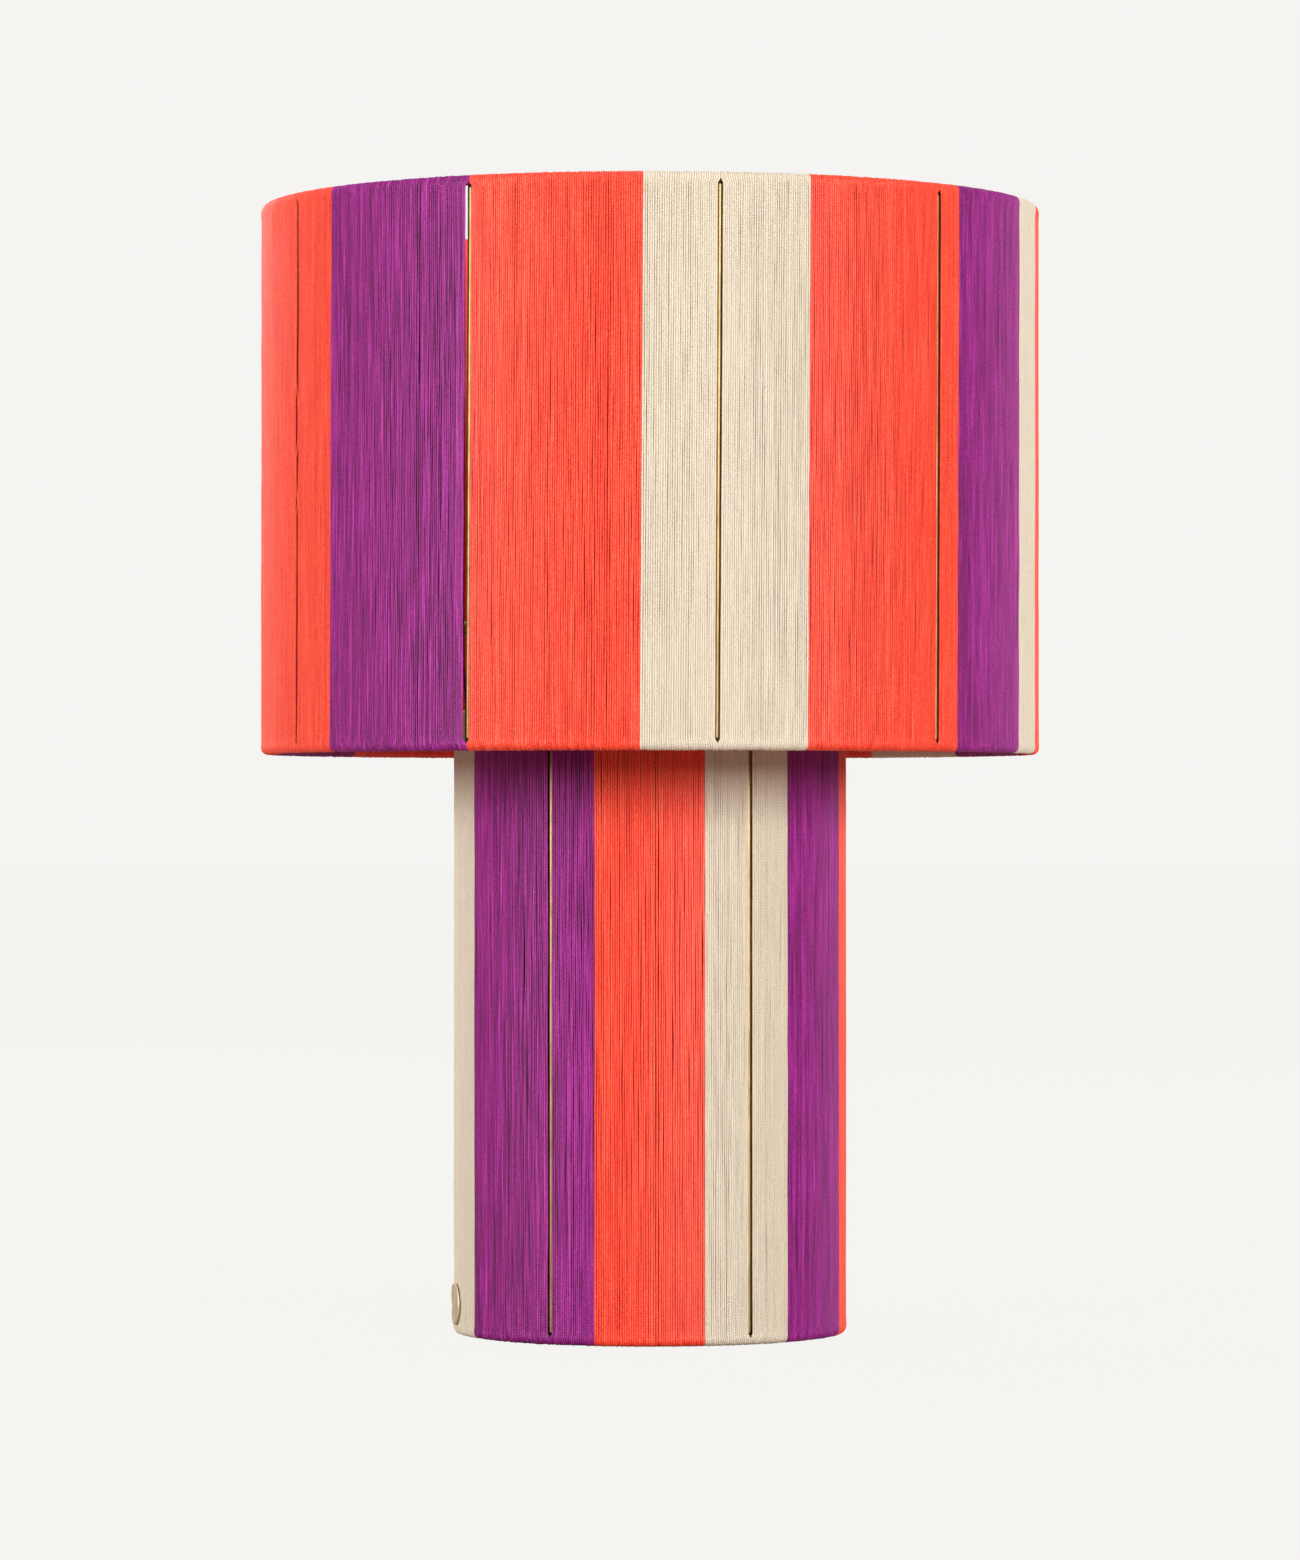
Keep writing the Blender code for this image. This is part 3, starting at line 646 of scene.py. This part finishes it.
def parted(bearing, path, drum, partings):
    """The bearings, with the yarn pushed aside from what comes through it."""
    z = drum.low + (drum.high - drum.low) * path.share + (drum.wire + YARN_RADIUS) * path.upward
    for parting in partings:
        opened = profile(parting, z) * np.clip(path.radial * parting.wall, 0, 1)
        centre = parting.bearing + drum.twist * (path.share - 0.5)
        offset = wrapped(bearing - centre) * drum.ring
        push = np.where(offset < 0, -parting.left, parting.right) * np.exp(-np.abs(offset) / PARTING_FALLOFF)
        bearing = bearing + push * opened / drum.ring
    return bearing


def around_axis(bearing, distance, height):
    """A list of points from their bearings, and distances and heights for each of them or for each column."""
    points = (np.sin(bearing) * distance, -np.cos(bearing) * distance, np.broadcast_to(height, bearing.shape))
    return np.stack(points, axis=-1).reshape(-1, 3)


def wound_bearings(random, start, end, places, path, drum, looseness):
    """The bearing of each step of each loop, before the yarn parts."""
    low_place, high_place = places
    loops, steps = len(low_place), len(path.share)
    step = (end - start) / (loops - 1)
    next_low = np.append(low_place[1:], low_place[-1] + step)[:, None]
    low_place, high_place = low_place[:, None], high_place[:, None]
    on_rim_below = np.arange(steps) >= steps - path.rim_steps
    outer = np.where(on_rim_below, next_low, low_place + (high_place - low_place) * path.share)
    # The inner wall is wound evenly, and carries the yarn on to the next turn's place.
    even = (start + step * (np.arange(loops) - 0.5))[:, None]
    inner = even + step * (1 - path.share)
    strays = smooth_noise(random, loops * steps, STRAY_STEPS).reshape(loops, steps)
    strays = strays * np.sqrt(np.sin(math.pi * path.share)) * (1 - path.inward)
    bearing = outer * (1 - path.inward) + inner * path.inward + looseness * STRAYING * strays / drum.ring
    return bearing + drum.twist * (path.share - 0.5)


def flatness(path, height):
    """How flat the yarn lies at each step of a loop, from 0 to 1."""
    from_ring = np.minimum(path.share, 1 - path.share) * height
    near_ring = np.clip(1.5 - from_ring / RIM_REACH, 0, 1)  # 1 up to half of it, 0 from half as far again
    return np.maximum(path.inward, near_ring)


def wind_band(name, drum, looseness, partings, seed):
    """One colour's yarn: a single length wound turn after turn round the two rings."""
    random = np.random.default_rng(seed)
    start, end = span_of(name)
    turns = round((end - start) * drum.ring / YARN_PITCH)
    loops = turns + 1  # the first of them is only the yarn's end, inside the drum
    places = turns_on_rings(random, start, end, loops, looseness)
    thickness = 1 + THICKNESS_BY_TURN * random.standard_normal((loops, 1))
    path = path_of_loop(drum.high - drum.low)
    steps = len(path.share)
    bearing = wound_bearings(random, start, end, places, path, drum, looseness)
    bearing = parted(bearing, path, drum, partings)

    along = smooth_noise(random, loops * steps, THICKNESS_STEPS).reshape(loops, steps)
    stacked = smooth_noise(random, loops * steps, STACKING_STEPS).reshape(loops, steps)
    spread = INNER_SPREAD * flatness(path, drum.high - drum.low)
    radii = YARN_RADIUS * (thickness + THICKNESS_ALONG * along + spread)
    offset = drum.wire + radii + STACKING * stacked
    height = drum.low + (drum.high - drum.low) * path.share + offset * path.upward
    centres = around_axis(bearing, drum.ring + offset * path.radial, height)
    outwards = around_axis(bearing, path.radial, path.upward)

    first = steps - path.rim_steps - YARN_TAIL  # the end of loop 0's inner wall, just above the lower ring
    last = loops * steps - path.rim_steps - YARN_TAIL
    centres = centres[first:last]
    points, faces = tube(centres, -outwards[first:last], radii.reshape(-1)[first:last], YARN_SIDES)
    mesh = mesh_from(name + "_wound", points, faces)

    by_turn = TONE_BY_TURN * random.standard_normal((loops, 1))
    # The stacked term is a painted highlight: turns that stand out further are painted paler.
    tone = 0.5 + looseness * (by_turn + TONE_BY_THICKNESS * along + PAINTED_HIGHLIGHT_BY_HEIGHT * stacked)
    tone = np.clip(tone, 0, 1).reshape(-1)[first:last]
    attribute = mesh.attributes.new("tone", "FLOAT", "POINT")
    attribute.data.foreach_set("value", np.repeat(tone, YARN_SIDES).astype(np.float32))

    map_yarn(mesh, centres, first, steps, loops)
    new_piece(name + "_wound", mesh, name)


def map_yarn(mesh, centres, first, steps, loops):
    """Two UV maps: Yarn is turns round the yarn and metres along it, OFBake lays the loops side by side."""
    lengths = np.concatenate(([0], np.cumsum(np.linalg.norm(np.diff(centres, axis=0), axis=1))))
    rows = len(lengths) - 1
    sides = np.arange(YARN_SIDES) / YARN_SIDES
    u = np.stack((sides, sides + 1 / YARN_SIDES, sides + 1 / YARN_SIDES, sides), axis=-1)
    u = np.broadcast_to(u, (rows, YARN_SIDES, 4))
    here, ahead = lengths[:-1], lengths[1:]
    v = np.stack((here, here, ahead, ahead), axis=-1)
    v = np.broadcast_to(v[:, None], (rows, YARN_SIDES, 4))
    cap_corners = 2 * YARN_SIDES
    yarn = np.concatenate((np.stack((u, v), axis=-1).reshape(-1), np.zeros(cap_corners * 2)))
    layer = mesh.uv_layers.new(name="Yarn")
    layer.uv.foreach_set("vector", yarn.astype(np.float32))

    step = np.arange(rows) + first
    column, row = step // steps, step % steps
    x = (column[:, None, None] + u) / loops
    low, high = row / steps, (row + 1) / steps
    y = np.stack((low, low, high, high), axis=-1)
    y = np.broadcast_to(y[:, None], (rows, YARN_SIDES, 4))
    laid = np.concatenate((np.stack((x, y), axis=-1).reshape(-1), np.zeros(cap_corners * 2)))
    layer = mesh.uv_layers.new(name="OFBake")
    layer.uv.foreach_set("vector", laid.astype(np.float32))
    mesh.uv_layers["Yarn"].active_render = True


def wind_drum(drum, seed):
    partings = partings_of(drum)
    bands = [name for name in named("_yarn_") if name.startswith(drum.name)]
    for number, name in enumerate(bands):
        colour = name.split("_")[1]
        wind_band(name, drum, UNEVENNESS[colour], partings, seed + number)


# ---------------------------------------------------------------- wire frames


def rod_piece(rod):
    """A round rod with rounded ends, where it meets the rings' welds."""
    length = (rod.high - rod.low).length
    direction = (rod.high - rod.low) / length
    steps = [rod.radius * step for step, _ in ROD_END]
    steps += [length - step for step in reversed(steps)]
    radii = [rod.radius * share for _, share in (*ROD_END, *reversed(ROD_END))]
    centres = [rod.low + direction * step for step in steps]
    outwards = [(rod.low.x, rod.low.y, 0)] * len(centres)
    points, faces = tube(centres, outwards, radii, ROD_SIDES)
    mesh = mesh_from(rod.name + "_wire", points, faces)
    new_piece(rod.name + "_wire", mesh, rod.name)


def ring_piece(name, drum, z):
    turn = np.arange(RING_STEPS) * 2 * math.pi / RING_STEPS
    outwards = np.stack((np.sin(turn), -np.cos(turn), np.zeros(RING_STEPS)), axis=-1)
    centres = outwards * drum.ring + np.array((0, 0, z))
    points, faces = tube(centres, outwards, np.full(RING_STEPS, drum.wire), RING_SIDES, closed=True)
    mesh = mesh_from(name + "_wire", points, faces)
    new_piece(name + "_wire", mesh, name)


def wire_frame(drum):
    for rod in drum.rods:
        rod_piece(rod)
    ring_piece(f"{drum.name}_upper_ring", drum, drum.high)
    ring_piece(f"{drum.name}_lower_ring", drum, drum.low)


# ---------------------------------------------------------------- turned parts


def section_of(points, edges):
    """The section that a turned shape was spun from, as radii and heights in order, and whether it closes."""
    radii = np.hypot(points[:, 0], points[:, 1])
    bearings = bearing_of(points)
    on_plane = (np.abs(wrapped(bearings - bearings[radii.argmax()])) < ON_PLANE) | (radii < ON_WALL)
    keys = [(round(float(radius), 5), round(float(z), 5)) for radius, z in zip(radii, points[:, 2])]
    beside = {}
    for first, second in edges:
        if on_plane[first] and on_plane[second] and keys[first] != keys[second]:
            beside.setdefault(keys[first], set()).add(keys[second])
            beside.setdefault(keys[second], set()).add(keys[first])
    section = [min(beside, key=lambda key: (len(beside[key]), key))]
    closed = len(beside[section[0]]) == 2
    while ahead := sorted(beside[section[-1]] - set(section)):
        section.append(ahead[0])
    if not closed and section[0][0]:
        section.insert(0, (0.0, section[0][1]))
    if not closed and section[-1][0]:
        section.append((0.0, section[-1][1]))
    return np.array(section), closed


def softened(section, closed, size):
    """The section with its corners rounded to about this size."""
    rounded = []
    for index, point in enumerate(section):
        if not closed and index in (0, len(section) - 1):
            rounded.append(point)
            continue
        before = section[index - 1] - point
        after = section[(index + 1) % len(section)] - point
        start = point + before * min(CORNER_SHARE, size / np.linalg.norm(before))
        end = point + after * min(CORNER_SHARE, size / np.linalg.norm(after))
        rounded += [start, (start + 2 * point + end) / 4, end]
    return np.array(rounded)


def divided(section, closed, longest):
    """The section with points added, so that no step is longer than this."""
    ends = np.roll(section, -1, axis=0) if closed else section[1:]
    finer = []
    for start, end in zip(section, ends):
        count = math.ceil(np.linalg.norm(end - start) / longest)
        finer += [start + (end - start) * step / count for step in range(count)]
    if not closed:
        finer.append(section[-1])
    return np.array(finer)


def spun(section, closed, steps, relief):
    """Points and faces of a section spun round the Z axis. relief(radius, z, turn) is added to the radius."""
    rows = len(section)
    turn = np.repeat(np.arange(steps)[:, None] * 2 * math.pi / steps, rows, axis=1)
    radii = np.maximum(section[:, 0] + relief(section[:, 0], section[:, 1], turn), 0)
    points = around_axis(turn, radii, section[:, 1])
    faces = []
    for step in range(steps):
        here, there = step * rows, (step + 1) % steps * rows
        for row in range(rows if closed else rows - 1):
            following = (row + 1) % rows
            faces.append((here + row, there + row, there + following, here + following))
    return points, faces


def thread(pitch, depth, radius, low, high):
    """The relief of a right-hand screw thread on the wall at this radius."""
    def relief(radii, z, turn):
        wave = 0.5 - 0.5 * np.cos(2 * math.pi * z / pitch - turn)
        fade = np.clip(np.minimum(z - low, high - z) / pitch, 0, 1)
        return depth * wave * fade * (np.abs(radii - radius) < ON_WALL)
    return relief


def knurl(depth, radius):
    """The relief of a knurled edge."""
    def relief(radii, z, turn):
        return depth * (0.5 - 0.5 * np.cos(KNURLS * turn)) * (np.abs(radii - radius) < ON_WALL)
    return relief


def groove(depth, radius, middle, width):
    """The relief of a round groove at this height."""
    def relief(radii, z, turn):
        return depth * np.exp(-(((z - middle) / width) ** 2)) * (np.abs(radii - radius) < ON_WALL)
    return relief


def plain(radii, z, turn):
    """No relief."""
    return 0


def both(first, second):
    """Two reliefs at once."""
    def relief(radii, z, turn):
        return first(radii, z, turn) + second(radii, z, turn)
    return relief


def laid_flat(points, bend):
    """Points on a drum, unrolled: X is across, Y is up and Z points outwards."""
    bearing, radius, middle = bend
    across = wrapped(bearing_of(points) - bearing) * radius
    outwards = np.hypot(points[:, 0], points[:, 1]) - radius
    return np.stack((across, points[:, 2] - middle, outwards), axis=-1)


def rolled_up(points, bend):
    """The opposite of laid_flat."""
    bearing, radius, middle = bend
    return around_axis(bearing + points[:, 0] / radius, radius + points[:, 2], points[:, 1] + middle)


def weld(mesh):
    """Joins a spun mesh's points that are one, as on its axis, and turns its faces outwards."""
    shape = bmesh.new()
    shape.from_mesh(mesh)
    bmesh.ops.remove_doubles(shape, verts=shape.verts, dist=MERGED)
    bmesh.ops.dissolve_degenerate(shape, edges=shape.edges, dist=DEGENERATE)
    bmesh.ops.recalc_face_normals(shape, faces=shape.faces)
    shape.to_mesh(mesh)
    shape.free()
    mesh.set_sharp_from_angle(angle=SMOOTH_ANGLE)


def turned_piece(node, steps=TURNED_STEPS, longest=ONE_PIECE, relief=plain, bend=None):
    """A finer copy of a turned CAD node, with rounded corners and the relief of its surface."""
    mesh = frame["nodes"][node].data
    edges = np.empty(len(mesh.edges) * 2, int)
    mesh.edges.foreach_get("vertices", edges)
    points = node_points(node)
    if bend:
        points = laid_flat(points, bend)
    section, closed = section_of(points, edges.reshape(-1, 2))
    section = divided(softened(section, closed, CORNERS[node]), closed, longest)
    points, faces = spun(section, closed, steps, relief)
    if bend:
        points = rolled_up(points, bend)
    made = mesh_from(node + "_turned", points.tolist(), faces)
    weld(made)
    new_piece(node + "_turned", made, node)


def bend_of(node):
    """The bearing, radius and height about which a disc is bent to a drum."""
    points = node_points(node)
    bearing = float(bearing_of(points.mean(axis=0)))
    low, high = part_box(node)
    return bearing, np.hypot(points[:, 0], points[:, 1]).min(), (low.z + high.z) / 2


def shade_hub(drum):
    """The shade's hub and its arms, welded to the uprights."""
    points = node_points("shade_spider")
    radii = np.hypot(points[:, 0], points[:, 1])
    low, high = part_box("shade_spider")
    wire = (high.z - low.z) / 2
    middle = (high.z + low.z) / 2
    plate = points[radii < (radii.min() + HUB_RADIUS) / 2]
    bottom, top = plate[:, 2].min(), plate[:, 2].max()
    section = np.array([(radii.min(), bottom), (HUB_RADIUS, bottom), (HUB_RADIUS, top), (radii.min(), top)])
    hub_points, all_faces = spun(softened(section, True, HUB_CORNER), True, HUB_SIDES, plain)
    all_points = hub_points.tolist()
    along = np.array((HUB_RADIUS - WELD_LAP, radii.max()))
    for rod in drum.rods:
        bearing = float(bearing_of(np.array((rod.low + rod.high) / 2)))
        if not arm_parting(drum, bearing, "shade_spider"):
            continue
        out = np.array((math.sin(bearing), -math.cos(bearing), 0))
        centres = along[:, None] * out + np.array((0, 0, middle))
        upwards = np.tile((0.0, 0.0, 1.0), (len(along), 1))
        arm_points, arm_faces = tube(centres, upwards, np.full(len(along), wire), ARM_SIDES)
        first = len(all_points)
        all_points += arm_points.tolist()
        all_faces += [tuple(corner + first for corner in face) for face in arm_faces]
    mesh = mesh_from("shade_spider_welded", all_points, all_faces)
    new_piece("shade_spider_welded", mesh, "shade_spider")


def turned_parts():
    """The lampholder on its nipple, the bulb, the two threaded rings, the felt pad and the disc."""
    for node in ("holder_contact", "felt_pad", "bulb_glass"):
        turned_piece(node)

    low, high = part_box("threaded_nipple")
    cut = thread(NIPPLE_PITCH, NIPPLE_DEPTH, high.x, low.z, high.z)
    turned_piece("threaded_nipple", NIPPLE_STEPS, NIPPLE_PITCH / ROWS_PER_TURN, cut)

    low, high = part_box("holder_cap")
    upper, lower = (
        groove(CAP_GROOVE_DEPTH, high.x, high.z - place, CAP_GROOVE_WIDTH) for place in CAP_GROOVES
    )
    turned_piece("holder_cap", longest=CAP_ROWS, relief=both(upper, lower))

    low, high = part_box("holder_body")
    bore = np.hypot(*node_points("holder_body")[:, :2].T).min()
    below, above = HOLDER_MARGINS
    outside = thread(HOLDER_PITCH, HOLDER_DEPTH, high.x, low.z + below, high.z - above)
    inside = thread(LAMP_PITCH, SOCKET_DEPTH, bore, low.z + SOCKET_MARGIN, high.z)
    turned_piece("holder_body", longest=HOLDER_PITCH / ROWS_PER_TURN, relief=both(outside, inside))

    low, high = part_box("holder_insulator")
    waist = groove(WAIST_DEPTH, high.x, (low.z + high.z) / 2, WAIST_WIDTH)
    turned_piece("holder_insulator", longest=WAIST_ROWS, relief=waist)

    low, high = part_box("bulb_cap")
    top = high.z - SCREW_MARGIN
    screw = thread(LAMP_PITCH, SCREW_DEPTH, high.x, top - SCREW_LENGTH, top)
    turned_piece("bulb_cap", longest=LAMP_PITCH / ROWS_PER_TURN, relief=screw)

    for node in ("support_ring", "retaining_ring"):
        turned_piece(node, KNURLS * ROWS_PER_KNURL, relief=knurl(KNURL_DEPTH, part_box(node)[1].x))
    turned_piece("maker_disc", longest=DISC_ROWS, bend=bend_of("maker_disc"))


def edged_parts():
    """The CAD nodes whose shape is kept: they get their material and a fine bevel."""
    for name in EDGED:
        node = frame["nodes"][name]
        node.data.materials.clear()
        node.data.materials.append(looks[slots[name]])
        edges = node.modifiers.new("edges", "BEVEL")
        edges.width = EDGE_WIDTH
        edges.segments = EDGE_STEPS


# ---------------------------------------------------------------- studio


def camera_sees(nodes, links, seen, otherwise):
    """A shader that looks like seen, but lights the lamp as otherwise does."""
    path = nodes.new("ShaderNodeLightPath")
    mix = nodes.new("ShaderNodeMixShader")
    links.new(path.outputs["Is Camera Ray"], mix.inputs["Fac"])
    links.new(otherwise, mix.inputs[1])
    links.new(seen, mix.inputs[2])
    return mix.outputs[0]


def lay_floor():
    """A floor that the camera sees as bright as the backdrop, with a faint shadow of the lamp."""
    bpy.ops.mesh.primitive_plane_add(size=FLOOR_SIZE, location=(0, 0, -FLOOR_DROP))
    floor = bpy.context.object
    floor.name = "floor"
    look, nodes, links, shader = node_tree("floor_paint")
    shader.inputs["Base Color"].default_value = (*FLOOR_COLOUR, 1)
    shader.inputs["Roughness"].default_value = 0.9
    shader.inputs["Specular IOR Level"].default_value = 0.1
    glow = add_node(nodes, "ShaderNodeEmission", Color=(*BACKDROP, 1), Strength=FLOOR_GLOW)
    blend = nodes.new("ShaderNodeMixShader")
    blend.inputs["Fac"].default_value = FLOOR_SHADOW
    links.new(glow.outputs[0], blend.inputs[1])
    links.new(shader.outputs[0], blend.inputs[2])
    seen = camera_sees(nodes, links, blend.outputs[0], shader.outputs[0])
    links.new(seen, nodes["Material Output"].inputs["Surface"])
    floor.data.materials.append(look)


def hang_backdrop():
    """The camera sees the backdrop, and the lamp sees dimmer, warmer surroundings."""
    world = bpy.data.worlds.new("studio")
    bpy.context.scene.world = world
    world.use_nodes = True
    nodes, links = world.node_tree.nodes, world.node_tree.links
    backdrop = nodes["Background"]
    backdrop.inputs["Color"].default_value = (*BACKDROP, 1)
    surround = add_node(nodes, "ShaderNodeBackground", Color=(*SURROUND_COLOUR, 1), Strength=SURROUND)
    seen = camera_sees(nodes, links, backdrop.outputs[0], surround.outputs[0])
    links.new(seen, nodes["World Output"].inputs["Surface"])


def light_up():
    for name, place, size, power in SOFT_BOXES:
        light = bpy.data.lights.new(name, "AREA")
        light.shape = "RECTANGLE"
        light.size, light.size_y = size
        light.energy = power
        lamp = bpy.data.objects.new(name, light)
        bpy.context.scene.collection.objects.link(lamp)
        lamp.location = place
        lamp.rotation_euler = (LIT_POINT - Vector(place)).to_track_quat("-Z", "Y").to_euler()
        lamp.visible_glossy = name not in WITHOUT_GLARE


def set_camera():
    data = bpy.data.cameras.new("camera")
    data.lens = CAMERA_LENS
    data.clip_end = 100
    view = bpy.data.objects.new("camera", data)
    bpy.context.scene.collection.objects.link(view)
    view.location = CAMERA_PLACE
    view.rotation_euler = (math.pi / 2 + CAMERA_PITCH, 0, 0)
    bpy.context.scene.camera = view
    bpy.context.scene.view_settings.view_transform = "Standard"


# ---------------------------------------------------------------- the lamp


shade, base = read_drum("shade"), read_drum("base")
for drum, seed in ((shade, SHADE_SEED), (base, BASE_SEED)):
    wind_drum(drum, seed)
    wire_frame(drum)
shade_hub(shade)
turned_parts()
edged_parts()

lay_floor()
hang_backdrop()
light_up()
set_camera()
